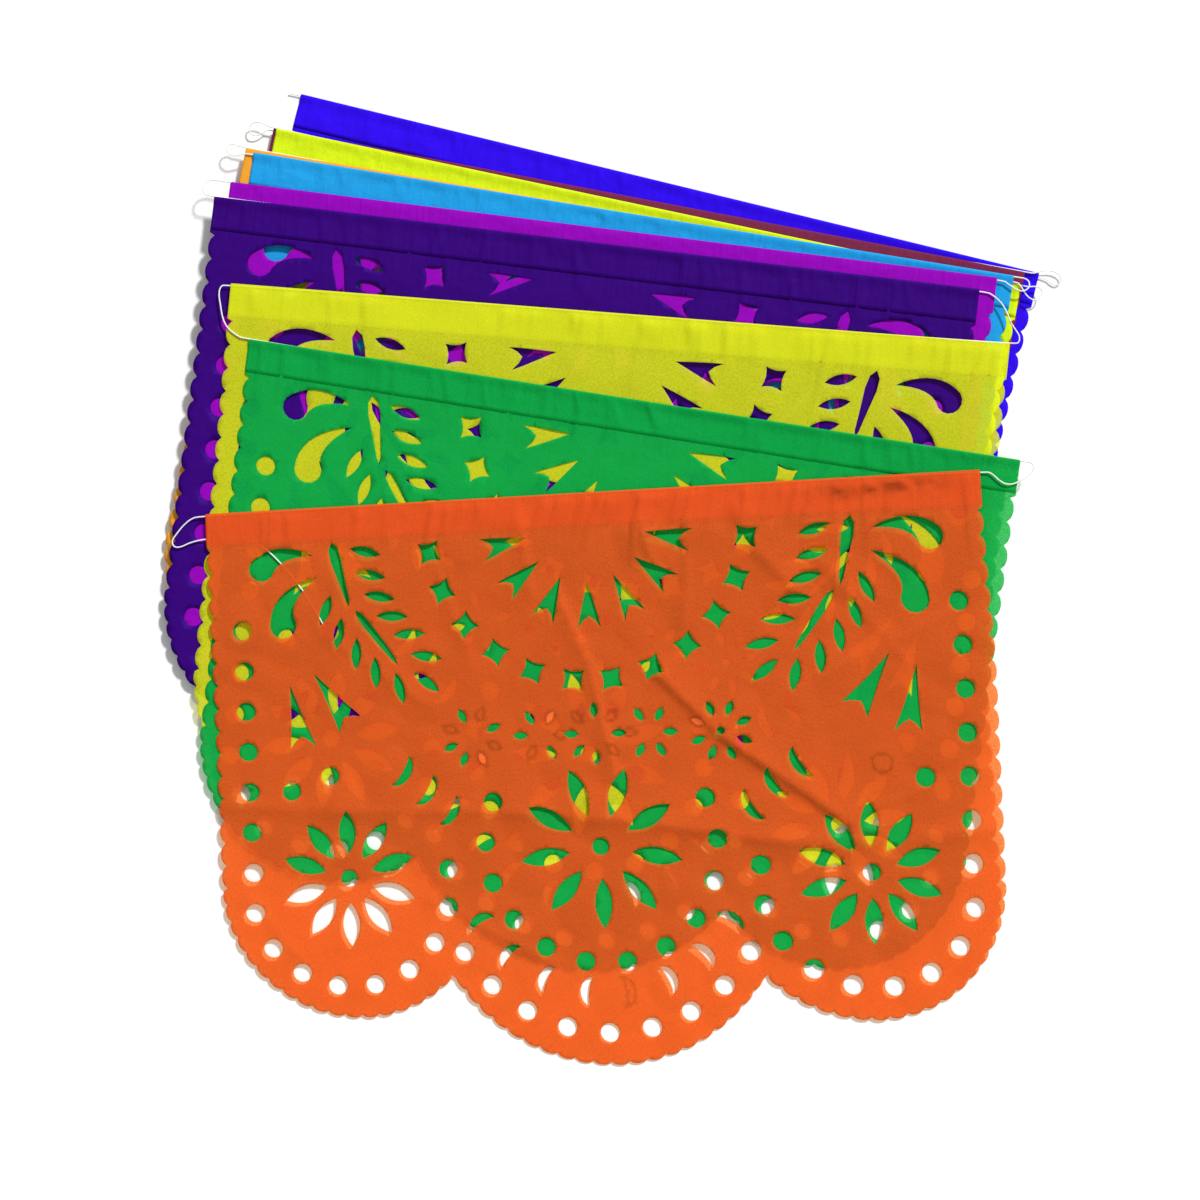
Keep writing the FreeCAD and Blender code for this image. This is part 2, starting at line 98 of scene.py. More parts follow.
# Each sheet from the top down: node, material slot, the middle of its hem (x, y), the slopes of hem
# and foot, the lean, the share of its width that the gathered hem keeps.
SHEETS = [
    ("sheet_01_orange", "orange_tissue", -45.0, -179.0, 3.3, -0.6, 2.6, 0.994),
    ("sheet_02_green", "green_tissue", -20.5, -125.8, -8.9, -10.0, -7.4, 1.0),
    ("sheet_03_yellow", "yellow_tissue", -28.9, -76.2, -4.4, -6.0, -5.7, 1.0),
    ("sheet_04_purple", "purple_tissue", -42.4, -35.5, -6.9, -7.0, -6.9, 0.987),
    ("sheet_05_magenta", "magenta_tissue", -32.6, -27.7, -7.1, -7.3, -7.3, 0.99),
    ("sheet_06_blue", "blue_tissue", -21.1, -18.5, -9.2, -9.2, -9.2, 0.988),
    ("sheet_07_amber", "amber_tissue", -24.2, -17.9, -9.7, -10.5, -11.6, 0.996),
    ("sheet_08_lime", "lime_tissue", -12.4, -13.8, -11.9, -11.0, -11.0, 0.978),
    ("sheet_09_maroon", "maroon_tissue", -12.1, -9.8, -10.8, -11.0, -11.0, 0.984),
    ("sheet_10_ultramarine", "ultramarine_tissue", 0.0, 0.0, -13.65, -12.0, -13.6, 0.978),
]

# Each tissue's reflected colour, the tint of what passes through it, which is None where the tissue is
# made opaque, and how opaque each side is
COLOURS = {
    "orange_tissue": ((1.0, 0.148, 0.030), (1.0, 0.78, 0.43), 0.46),
    "green_tissue": ((0.008, 0.54, 0.105), (0.48, 0.88, 0.52), 0.52),
    "yellow_tissue": ((0.94, 1.0, 0.028), (1.0, 0.99, 0.60), 0.42),
    "purple_tissue": ((0.036, 0.0005, 0.185), None, 1.0),
    "magenta_tissue": ((0.29, 0.001, 0.47), None, 1.0),
    "blue_tissue": ((0.016, 0.35, 0.78), None, 1.0),
    "amber_tissue": ((0.90, 0.38, 0.030), None, 1.0),
    "lime_tissue": ((0.68, 0.88, 0.011), None, 1.0),
    "maroon_tissue": ((0.19, 0.022, 0.065), None, 1.0),
    "ultramarine_tissue": ((0.031, 0.0026, 0.86), None, 1.0),
}


# Flat shapes in a sheet's own u (across) and v (down from its fold), smooth versions of the part's

def turned(points, u, v, angle=0):
    c = cos(radians(angle))
    s = sin(radians(angle))
    return [(u + x * c - y * s, v + x * s + y * c) for x, y in points]


def mirrored(points):
    return [(-u, v) for u, v in points]


def on_ring(u, v, radius, angle):
    """A point on a ring about (u, v), with the angle from straight down towards +u."""
    return u + radius * sin(radians(angle)), v + radius * cos(radians(angle))


def dot(u, v, radius=5.5, sides=16):
    return [on_ring(u, v, radius, 360.0 * i / sides) for i in range(sides)]


def leaf(u, v, angle, length=19.0, width=6.0, steps=7):
    """A pointed oval that lies along x before it is turned."""
    upper = [(length * (i / steps - 0.5), -width / 2 * sin(pi * i / steps) ** 0.85) for i in range(steps)]
    return turned(upper + [(-x, -y) for x, y in upper], u, v, angle)


def stem(u, v, angle, length, thick, thin):
    """A long sliver, widest near its first end and pointed at both."""
    half = length / 2
    side = [(-half, 0), (-half * 0.8, thick * 0.42), (-half * 0.45, thick / 2), (half * 0.3, thin / 2),
            (half * 0.8, thin * 0.3), (half, 0)]
    return turned([(x, -y) for x, y in side] + side[-2:0:-1], u, v, angle)


def square(u, v, angle, size=12.0, hollow=1.3):
    """A square whose sides curve in."""
    corner = size / 2
    one_side = [(-corner, -corner), (-corner / 2, hollow * 0.75 - corner), (0, hollow - corner),
                (corner / 2, hollow * 0.75 - corner)]
    points = []
    for quarter in range(4):
        points += turned(one_side, 0, 0, 90 * quarter)
    return turned(points, u, v, angle)


def dart(u, v, angle, length=27.0, width=13.5):
    """A fish-tail dart that points up before it is turned."""
    tail = length * 0.45
    side = width / 2
    half = [(0, tail - length), (side * 0.40, tail - length * 0.62), (side * 0.78, tail - length * 0.25),
            (side, tail), (side * 0.5, tail * 0.62), (0, tail * 0.42)]
    return turned(half + [(-x, y) for x, y in half[-2:0:-1]], u, v, angle)


def crescent(u, v, angle, length, depth=7.0, steps=8):
    """A crescent that lies along x and bulges down before it is turned."""
    outer = [(-length / 2 * cos(pi * i / steps), depth * (sin(pi * i / steps) - 0.5)) for i in range(steps)]
    inner = [(length / 2 * cos(pi * i / steps), depth * (0.28 * sin(pi * i / steps) - 0.5))
             for i in range(steps)]
    return turned(outer + inner, u, v, angle)


def paisley(head, bend, tip, radius, steps=9):
    """A drop with a round head, whose middle line bends on its way to the tip."""
    left = []
    right = []
    for i in range(steps):
        t = i / steps
        x = (1 - t) ** 2 * head[0] + 2 * t * (1 - t) * bend[0] + t * t * tip[0]
        y = (1 - t) ** 2 * head[1] + 2 * t * (1 - t) * bend[1] + t * t * tip[1]
        dx = (1 - t) * (bend[0] - head[0]) + t * (tip[0] - bend[0])
        dy = (1 - t) * (bend[1] - head[1]) + t * (tip[1] - bend[1])
        side = radius * (1 - t) ** 0.8 / sqrt(dx * dx + dy * dy)
        left.append((x + dy * side, y - dx * side))
        right.append((x - dy * side, y + dx * side))
    away = atan2(head[1] - bend[1], head[0] - bend[0])
    cap = [(head[0] + radius * cos(away + k), head[1] + radius * sin(away + k))
           for k in np.radians((-64, -38, -13, 13, 38, 64))]
    return left + [tip] + right[::-1] + cap


def flower(u, v, petals, ring, length):
    """Petals on a ring, each pointing away from its middle, the first one straight down."""
    shapes = [dot(u, v, 5.0)]
    for i in range(petals):
        angle = 360.0 * i / petals
        x, y = on_ring(u, v, ring, angle)
        shapes.append(leaf(x, y, 90 - angle, length, 10.0, 9))
    return shapes


def spray():
    edge = HALF_WIDTH
    shapes = [stem(edge - 79.1, 40.7, 103, 40.0, 7.0, 4.0), stem(edge - 99.2, 79.4, 125.4, 41.5, 4.6, 3.8)]
    for inward, v, angle in [(94.9, 27.9, -15), (97.2, 41.9, -13), (102.1, 55.1, -12.5), (109.1, 67.1, -4),
                             (118.7, 78.3, 1), (128.3, 92.0, -11), (127.6, 107.2, -39), (69.2, 61.6, 68),
                             (76.7, 75.8, 77), (86.5, 88.5, 85), (97.5, 100.3, 90), (111.5, 110.2, 102)]:
        shapes.append(leaf(edge - inward, v, angle))
    return shapes


def barb(points, u, v):
    """A notched dart from its tip, its two ends and the notch between them, with eased sides."""
    tip, right, notch, left = points
    eased = [tip, (tip[0] * 0.45 + right[0] * 0.55 - 0.6, tip[1] * 0.45 + right[1] * 0.55), right,
             ((right[0] + notch[0]) / 2, (right[1] + notch[1]) / 2 - 0.8), notch,
             ((left[0] + notch[0]) / 2, (left[1] + notch[1]) / 2 - 0.8), left,
             (tip[0] * 0.45 + left[0] * 0.55 + 0.6, tip[1] * 0.45 + left[1] * 0.55)]
    return turned(eased, u, v)


def right_half():
    edge = HALF_WIDTH
    shapes = spray() + [
        paisley((edge - 31.5, 34.8), (edge - 40.8, 22.9), (edge - 63.1, 28.5), 7.5),
        paisley((edge - 43.0, 69.2), (edge - 40.3, 52.3), (edge - 65.1, 41.3), 8.0),
        barb([(4.6, -22), (5.9, 15.5), (-1, 9), (-9.7, 15.5)], edge - 50.0, 127.5),
        barb([(12, -18), (-2, 18.5), (-5, 9), (-15.5, 9)], edge - 72.1, 117.0),
    ]
    for i in (1, 2, 3):
        shapes.append(dart(*on_ring(0, 17.3, 50.0, 25.8 * i), -25.8 * i))
    for i in range(6):
        angle = 15.0 * (i + 0.46)
        shapes.append(square(*on_ring(0, 17.3, 92.6, angle), -angle))
        shapes.append(dot(*on_ring(0, MIDDLE_FLOWER_V, 67.3, 20.7 * (i + 0.5))))
    for i in range(8):
        shapes.append(dot(edge - BORDER, LOBE_V + 15.1 - 24.4 * i))
        shapes.append(dot(*on_ring(FLOWER_U, LOBE_V, SIDE_LOBE_RADIUS - BORDER, 52.5 - 21.6 * i)))
    shapes.append(dot(edge - 43.5, LOBE_V - 57.9))
    row_v = LOBE_V - 10
    for i in range(1, 5):
        shapes.append(dot(*on_ring(0, row_v, SHEET_DROP - BORDER - row_v, 14.75 * i)))
    for u, rise in [(112.9, 66.2), (99.1, 54.7), (86.0, 42.2)]:
        shapes.append(crescent(u, LOBE_V - rise, 58, 20.0))
    for i in (1, 2, 3):
        shapes.append(lower_crescent(i))
    return shapes + flower(FLOWER_U, FLOWER_V, 10, 27.5, 26.0)


def lower_crescent(i):
    angle = 17.2 * (i + 0.5)
    return crescent(*on_ring(0, MIDDLE_FLOWER_V, 84.0, angle), -90 - angle, 17.0)


def florets():
    """The five small florets: their open petals, the ones that stayed in, and those that hang loose."""
    rings = {6: 11.8, 8: 13.8}
    cut = [dot(72.0, 141.0, 2.3, 10)]
    kept = []
    hanging = []
    for u, petals, first, stayed_in, loose in [
            (-72.0, 8, 22.5, (1, 3, 7), (6,)), (-31.7, 6, 0, (0, 4), (1,)), (0, 8, 0, (1, 3, 7), ()),
            (31.7, 6, 0, (3,), ()), (72.0, 8, 22.5, (), (3,))]:
        for i in range(petals):
            angle = first + 360.0 * i / petals
            petal = leaf(*on_ring(u, 141.0, rings[petals], 90 + angle), -angle, 9.2, 4.6, 5)
            if i in stayed_in:
                kept.append(petal)
            elif i in loose:
                hanging.append(petal)
            else:
                cut.append(petal)
    return cut, kept, hanging


def stencil():
    """Every cut-out, the outlines that the punch pressed without cutting, and the loose petals."""
    half = right_half()
    cut, kept, hanging = florets()
    middle = flower(0, MIDDLE_FLOWER_V, 9, 33.0, 29.0) + [dart(0, 67.3, 0), dot(0, SHEET_DROP - BORDER)]
    left_only = [mirrored(lower_crescent(0)), mirrored(dot(HALF_WIDTH - 67.1, LOBE_V - 66.1))]
    kept += [lower_crescent(0), dot(HALF_WIDTH - 67.1, LOBE_V - 66.1)]
    return half + [mirrored(points) for points in half] + middle + left_only + cut, kept, hanging


# The edge of a sheet, laid out flat with its hem flap above the fold line

FOLD_START = 0.5
FLAP_TOP = FOLD_START - pi * FOLD_RADIUS - (HEM_DEPTH - FOLD_START)


def outline(step):
    notch_u = (LOBE_U ** 2 + MIDDLE_LOBE_RADIUS ** 2 - SIDE_LOBE_RADIUS ** 2) / (2 * LOBE_U)
    notch_drop = sqrt(MIDDLE_LOBE_RADIUS ** 2 - notch_u ** 2)
    side_end = atan2(notch_drop, notch_u - LOBE_U)
    middle_start = atan2(notch_drop, notch_u)
    first_valley = HEM_DEPTH + SIDE_DEPTH

    def side(share, cut_in):
        return HALF_WIDTH - SIDE_DEPTH * cut_in, first_valley + (LOBE_V - first_valley) * share

    def side_lobe(share, cut_in):
        r = SIDE_LOBE_RADIUS - FOOT_DEPTH * cut_in
        return LOBE_U + r * cos(side_end * share), LOBE_V + r * sin(side_end * share)

    def middle_lobe(share, cut_in):
        r = MIDDLE_LOBE_RADIUS - FOOT_DEPTH * cut_in
        angle = middle_start + (pi / 2 - middle_start) * share
        return r * cos(angle), LOBE_V + r * sin(angle)

    def scallops(edge_at, count, steps=6):
        """Round scallops after the first valley, which a sharp valley parts."""
        return [edge_at((i + k / steps) / count, 1 - sin(pi * k / steps) ** 0.6)
                for i in range(count) for k in range(1, steps + 1)]

    rows = np.arange(FLAP_TOP, HEM_DEPTH + 1, 1.4)
    half = [(HALF_WIDTH, float(v)) for v in rows] + [(HALF_WIDTH, HEM_DEPTH + SIDE_DEPTH / 2), side(0, 1)]
    half += scallops(side, round((LOBE_V - first_valley) / SIDE_PITCH))
    half += scallops(side_lobe, round(SIDE_LOBE_RADIUS * side_end / FOOT_PITCH))
    half += scallops(middle_lobe, round(MIDDLE_LOBE_RADIUS * (pi / 2 - middle_start) / FOOT_PITCH))
    top = [(float(u), FLAP_TOP) for u in np.arange(-HALF_WIDTH + step, HALF_WIDTH - step / 2, step)]
    return half + mirrored(half[-2::-1]) + top


def inside(polygon, points):
    """Which points lie in the polygon."""
    ring = np.array(polygon)
    found = np.zeros(len(points), bool)
    near = np.where((points >= ring.min(0)).all(1) & (points <= ring.max(0)).all(1))[0]
    x, y = points[near, 0], points[near, 1]
    odd = np.zeros(len(near), bool)
    for (x0, y0), (x1, y1) in zip(ring, np.roll(ring, -1, axis=0)):
        if y0 != y1:
            odd ^= ((y0 > y) != (y1 > y)) & (x < (x1 - x0) * (y - y0) / (y1 - y0) + x0)
    found[near] = odd
    return found


def filling(step):
    """Points inside the sheet: a staggered net, closer near the hem and in rows round the fold."""
    points = []
    for row, v in enumerate(np.arange(GATHER_REACH, SHEET_DROP, step * 0.87)):
        shift = step / 2 * (row % 2)
        points += [(u + shift, v) for u in np.arange(-HALF_WIDTH, HALF_WIDTH, step)]
    turn = [FOLD_START - FOLD_RADIUS * pi * k / 5 for k in range(6)]
    rows = turn + [turn[-1] - 1.2, turn[-1] - 3, turn[-1] - 5.5]
    rows += list(np.arange(FLAP_TOP + 2.6, turn[-1] - 7, 2.9))
    rows += [1.6, 3.2, 5.2] + list(np.arange(7.6, GATHER_REACH - 1, 3.2))
    for v in rows:
        points += [(u, v) for u in np.arange(-HALF_WIDTH + 1.2, HALF_WIDTH, 1.7)]
    return np.array(points)


def flat_net(step):
    """The sheet laid out flat: points (u, v), triangles, where the punch pressed, and the loose petals."""
    cut, kept, hanging = stencil()
    edge = outline(step)
    rings = [edge] + cut + kept + hanging
    border = np.array([p for ring in rings for p in ring])
    fill = filling(step)
    fill = fill[inside(edge, fill)]
    for ring in cut:
        fill = fill[~inside(ring, fill)]
    clear = np.ones(len(fill), bool)
    for start in range(0, len(fill), 2000):
        part = fill[start:start + 2000]
        gap = np.abs(part[:, None, :] - border[None, :, :])
        in_fold = part[:, 1] < 4
        near = np.hypot(gap[..., 0], gap[..., 1]).min(1)
        clear[start:start + 2000] = near > np.where(in_fold, 0.5, 1.1)
    fill = fill[clear]
    centres = [np.mean(ring, axis=0) for ring in hanging]
    fill = np.vstack([fill] + [c + 0.6 * (np.array(ring) - c) for c, ring in zip(centres, hanging)])
    links = []
    first = 0
    for ring in rings:
        links += [(first + i, first + (i + 1) % len(ring)) for i in range(len(ring))]
        first += len(ring)
    points = [Vector(p) for p in np.vstack([border, fill])]
    made = delaunay_2d_cdt(points, links, [], 0, 1e-5)
    flat = np.array([tuple(p) for p in made[0]])
    triangles = np.array([f for f in made[2] if len(f) == 3])
    middle = flat[triangles].mean(1)
    wanted = inside(edge, middle)
    for ring in cut:
        wanted &= ~inside(ring, middle)
    pressed = np.zeros(len(flat))
    kept_in = np.zeros(len(flat))
    for ring in kept + hanging:
        centre = np.mean(ring, axis=0)
        close = np.where(np.abs(flat - centre).max(1) < np.abs(np.array(ring) - centre).max() + 2)[0]
        away = np.hypot(*(flat[close][:, None, :] - np.array(ring)[None]).transpose(2, 0, 1)).min(1)
        pressed[close[away < 0.3]] = 1
        if ring in hanging:
            kept_in[close[inside(ring, flat[close]) & (away > 0.3)]] = 1
    return flat, triangles[wanted], pressed, kept_in


# How a sheet lies

def place(sheet, u, v):
    """Where a sheet's points lie on the floor, in millimetres."""
    node, slot, x, y, hem, foot, lean, keep = sheet
    hem, foot, lean = radians(hem), radians(foot), radians(lean)
    share = v / SHEET_DROP
    top_x = x + u * keep * cos(hem)
    top_y = y + u * keep * sin(hem)
    foot_x = x + SHEET_DROP * sin(lean) + u * cos(foot)
    foot_y = y - SHEET_DROP * cos(lean) + u * sin(foot)
    return top_x + (foot_x - top_x) * share, top_y + (foot_y - top_y) * share


def face_down(index):
    return index % 2 == 1


def eased(value, low, high):
    t = np.clip((value - low) / (high - low), 0, 1)
    return t * t * (3 - 2 * t)


def settled(y):
    """How far the pile keeps its height: all of it at the hems and less towards the feet."""
    return 0.15 + 0.27 * eased(y, -505.0, -430.0) + 0.58 * eased(y, -470.0, -190.0)


def below_hem(sheet, x, y):
    """How far below a sheet's hem line a place lies, negative above it."""
    node, slot, hem_x, hem_y, hem, foot, lean, keep = sheet
    return (hem_y - y) * cos(radians(hem)) + (x - hem_x) * sin(radians(hem))


def pile_height(index, x, y):
    """The height of a sheet's underside: the part's, but that the top sheets sink onto each other."""
    beneath = len(SHEETS) - 1 - index
    height = beneath * (PAPER + LAY_GAP) + (y - FOOT_Y) * ((beneath + 1) // 2) * FAN_SLOPE
    for upper in (0, 2):
        if index <= upper:
            tail_room = TAIL_ROOM * eased(-x, TAIL_FROM, TAIL_TO) if upper == 0 else 0.0
            sunk = eased(below_hem(SHEETS[upper], x, y) - tail_room, SINK_FROM, SINK_TO)
            height -= (y - FOOT_Y) * FAN_SLOPE * SINK * sunk
    return height * settled(y)


def waves(x, y, seed, count, short, long):
    """A smooth uneven field between about -1 and 1."""
    dice = np.random.default_rng(seed)
    total = np.zeros_like(x)
    for _ in range(count):
        length = dice.uniform(short, long)
        angle = dice.uniform(0, pi)
        total += np.cos(2 * pi * (x * cos(angle) + y * sin(angle)) / length + dice.uniform(0, 2 * pi))
    return total / sqrt(count)


def gathers(u, n, seed, count=46):
    """Tucks that start at the hem: each falls off slowly to its right and short to its left."""
    dice = np.random.default_rng(seed)
    total = np.zeros_like(u)
    for _ in range(count):
        start = dice.uniform(-0.97, 0.97) * HALF_WIDTH
        width = dice.uniform(3.0, 9.0)
        height = dice.uniform(0.6, 1.5) * (1 - 0.35 * abs(start) / HALF_WIDTH)
        reach = dice.uniform(14, 34) + 40 * dice.uniform(0, 1) ** 4
        slant = dice.normal(0, 0.16)
        across = u - start - slant * n
        side = np.where(across > 0, width, 1.3)
        tuck = height * np.exp(-np.abs(across / side) ** 1.4) * eased(-n, -reach, -reach * 0.25)
        total = np.maximum(total, tuck)
    return total


def from_photo(px, py):
    return (px - ORIGIN_PIXEL[0]) * PIXEL, (ORIGIN_PIXEL[1] - py) * PIXEL


# How far the wrinkles carry the middle of the top sheet's pattern to the left and up, in millimetres,
# and how far from its middle line that ends
DRIFT = (5.8, 1.6)
DRIFT_REACH = 195.0
# How far its right side spreads below the gathered hem
SPREAD = 4.8
# Creases of the top sheet, by the photograph's pixels: start, end, height, and in millimetres how far
# it slopes off to the left and to the right of the way from start to end
CREASES = [
    ((518, 515), (530, 590), 1.2, 2.6, 7.0),
    ((560, 600), (590, 665), 1.9, 2.4, 9.0),
    ((590, 665), (617, 780), 1.9, 2.4, 8.0),
    ((640, 525), (652, 560), 0.8, 2.4, 5.0),
    ((688, 570), (684, 620), 1.0, 2.6, 6.0),
    ((735, 512), (750, 545), 1.2, 6.0, 2.4),
    ((750, 545), (792, 588), 1.5, 8.0, 2.4),
    ((655, 672), (720, 735), 2.4, 11.0, 2.6),
    ((720, 735), (782, 777), 3.0, 12.0, 2.6),
    ((782, 777), (850, 824), 2.6, 12.0, 3.0),
    ((232, 806), (330, 812), 1.2, 10.0, 6.0),
    ((330, 812), (500, 812), 1.7, 12.0, 6.0),
    ((500, 812), (640, 822), 2.3, 13.0, 6.0),
    ((640, 822), (790, 843), 2.5, 13.0, 6.0),
    ((790, 843), (900, 842), 2.0, 12.0, 6.0),
    ((900, 842), (1003, 828), 1.6, 11.0, 6.0),
    ((820, 675), (950, 612), 0.7, 2.2, 6.0),
    ((872, 808), (1000, 762), 0.7, 2.4, 6.0),
    ((820, 560), (905, 660), 0.7, 5.0, 3.0),
    ((440, 575), (470, 660), 0.9, 3.0, 6.0),
    ((330, 640), (420, 700), 0.7, 5.0, 3.0),
    ((690, 955), (765, 910), 1.0, 4.0, 6.0),
    ((430, 900), (545, 960), 1.0, 6.0, 4.0),
    ((250, 900), (300, 960), 0.8, 5.0, 5.0),
]


def creases(x, y):
    total = np.zeros_like(x)
    for start, end, height, left, right in CREASES:
        ax, ay = from_photo(*start)
        bx, by = from_photo(*end)
        length = sqrt((bx - ax) ** 2 + (by - ay) ** 2)
        along = ((x - ax) * (bx - ax) + (y - ay) * (by - ay)) / length
        across = ((x - ax) * (by - ay) - (y - ay) * (bx - ax)) / length
        outside = np.maximum(-along, along - length)
        fade = eased(-outside, -14.0, 4.0)
        side = np.where(across > 0, right, left)
        total = np.maximum(total, height * fade * np.exp(-(np.abs(across) / side) ** 1.2))
    return total


def open_strip(index, x, y):
    """1 where no sheet above covers this one, and 0 under them, eased over a few millimetres."""
    strip = np.ones_like(x)
    for upper in SHEETS[:index]:
        strip *= eased(-below_hem(upper, x, y), 1.5, 9.0)
    return strip


def wrinkles(index, x, y, u, n):
    """How far a sheet stands off the one below, never negative, so that sheets never cross."""
    seed = 100 + index
    rise = gathers(u, n, seed) * eased(n, 0.6, 5.0)
    roll = 0.5 + 0.5 * waves(x, y, seed + 50, 7, 40, 120)
    rise += 0.4 * np.clip(roll, 0, 2) * eased(n, 4.0, 30.0)
    if index == 0:
        crinkle = np.abs(waves(x, y, 7, 6, 34, 80))
        rise += creases(x, y) + 0.45 * crinkle * eased(n, 4.0, 30.0)
    return rise * open_strip(index, x, y)


def lay(sheet, index, flat):
    """The sheet's middle surface in metres, with its hem folded round the string."""
    u = flat[:, 0]
    v = flat[:, 1]
    turn = np.clip((FOLD_START - v) / FOLD_RADIUS, 0, pi)
    back = np.clip(FOLD_START - v - pi * FOLD_RADIUS, 0, None)
    n = np.where(v >= FOLD_START, v, FOLD_START - FOLD_RADIUS * np.sin(turn) + back)
    rise = FOLD_RADIUS * (1 - np.cos(turn))
    on_flap = back > 0
    flap = FLAP_RISE + (2 * FOLD_RADIUS - FLAP_RISE) * (1 - eased(n, 1.2, 5.0))
    rise = np.where(on_flap, flap, rise)
    x, y = place(sheet, u, n)
    if index == 0:
        drift = np.clip(1 - (u / DRIFT_REACH) ** 2, 0, 1) * eased(n, 0, 25)
        spread = eased(u, 55, 165) * eased(n, 0, 120)
        x = x - DRIFT[0] * drift * (1 - 0.35 * n / SHEET_DROP) + SPREAD * spread
        y = y + DRIFT[1] * drift * np.sin(pi * np.clip(n / SHEET_DROP, 0, 1))
    direction = 1 if face_down(index) else -1
    height = pile_height(index, x, y) + PAPER / 2
    height = height + direction * rise + wrinkles(index, x, y, u, n)
    return np.column_stack([x, y, height]) * MM


def shell(name, middle, triangles, thickness):
    """A closed thin mesh about a middle surface."""
    a, b, c = (middle[triangles[:, k]] for k in range(3))
    normal = np.cross(b - a, c - a)
    at_point = np.zeros_like(middle)
    for k in range(3):
        np.add.at(at_point, triangles[:, k], normal)
    at_point /= np.maximum(np.linalg.norm(at_point, axis=1), 1e-12)[:, None]
    ways = np.vstack([triangles[:, [0, 1]], triangles[:, [1, 2]], triangles[:, [2, 0]]])
    edges = np.sort(ways, axis=1)
    keys = edges[:, 0].astype(np.int64) * len(middle) + edges[:, 1]
    _, first, count = np.unique(keys, return_index=True, return_counts=True)
    rim = ways[first[count == 1]]
    total = len(middle)
    points = np.vstack([middle + at_point * thickness / 2, middle - at_point * thickness / 2])
    walls = np.vstack([np.column_stack([rim[:, 1], rim[:, 0], rim[:, 0] + total]),
                       np.column_stack([rim[:, 1], rim[:, 0] + total, rim[:, 1] + total])])
    faces = np.vstack([triangles, triangles[:, ::-1] + total, walls])
    used = np.unique(faces)
    new_number = np.full(len(points), -1)
    new_number[used] = np.arange(len(used))
    faces = new_number[faces]
    mesh = bpy.data.meshes.new(name)
    mesh.vertices.add(len(used))
    mesh.vertices.foreach_set("co", points[used].astype(np.float32).ravel())
    mesh.loops.add(faces.size)
    mesh.loops.foreach_set("vertex_index", faces.astype(np.int32).ravel())
    mesh.polygons.add(len(faces))
    mesh.polygons.foreach_set("loop_start", np.arange(0, faces.size, 3, dtype=np.int32))
    mesh.update(calc_edges=True)
    mesh.validate()
    smooth = np.ones(len(mesh.polygons), bool)
    smooth[2 * len(triangles):] = False
    mesh.polygons.foreach_set("use_smooth", smooth)
    piece = bpy.data.objects.new(name, mesh)
    bpy.context.scene.collection.objects.link(piece)
    return piece, used % total


def paint(piece, name, values):
    if values.ndim == 1:
        attribute = piece.data.attributes.new(name, "FLOAT", "POINT")
        attribute.data.foreach_set("value", values.astype(np.float32))
    else:
        attribute = piece.data.attributes.new(name, "FLOAT_VECTOR", "POINT")
        attribute.data.foreach_set("vector", values.astype(np.float32).ravel())


# Materials

def add(tree, kind, **values):
    node = tree.nodes.new(kind)
    for key, value in values.items():
        setattr(node, key, value)
    return node


def noise(tree, place_of, scale, detail, rough=0.55):
    node = add(tree, "ShaderNodeTexNoise")
    node.inputs["Scale"].default_value = scale
    node.inputs["Detail"].default_value = detail
    node.inputs["Roughness"].default_value = rough
    tree.links.new(place_of, node.inputs["Vector"])
    return node.outputs["Fac"]


def ranged(tree, value, low, high, to_low, to_high):
    node = add(tree, "ShaderNodeMapRange")
    for key, number in (("From Min", low), ("From Max", high), ("To Min", to_low), ("To Max", to_high)):
        node.inputs[key].default_value = number
    tree.links.new(value, node.inputs["Value"])
    return node.outputs["Result"]


def blended(tree, factor, first, second, kind="MIX"):
    """A colour mix. first and second are colours or sockets."""
    node = add(tree, "ShaderNodeMix", data_type="RGBA", blend_type=kind)
    tree.links.new(factor, node.inputs[0])
    for socket, colour in ((node.inputs[6], first), (node.inputs[7], second)):
        if isinstance(colour, tuple):
            socket.default_value = (*colour, 1)
        else:
            tree.links.new(colour, socket)
    return node.outputs[2]


def scaled(colour, factor):
    return tuple(min(1.0, c * factor) for c in colour)


def attribute(tree, name, output="Fac"):
    return add(tree, "ShaderNodeAttribute", attribute_name=name).outputs[output]


def stretched(tree, vector, scale):
    node = add(tree, "ShaderNodeVectorMath", operation="MULTIPLY")
    tree.links.new(vector, node.inputs[0])
    node.inputs[1].default_value = scale
    return node.outputs[0]


def summed(tree, first, second, operation="ADD"):
    node = add(tree, "ShaderNodeMath", operation=operation)
    tree.links.new(first, node.inputs[0])
    tree.links.new(second, node.inputs[1])
    return node.outputs[0]


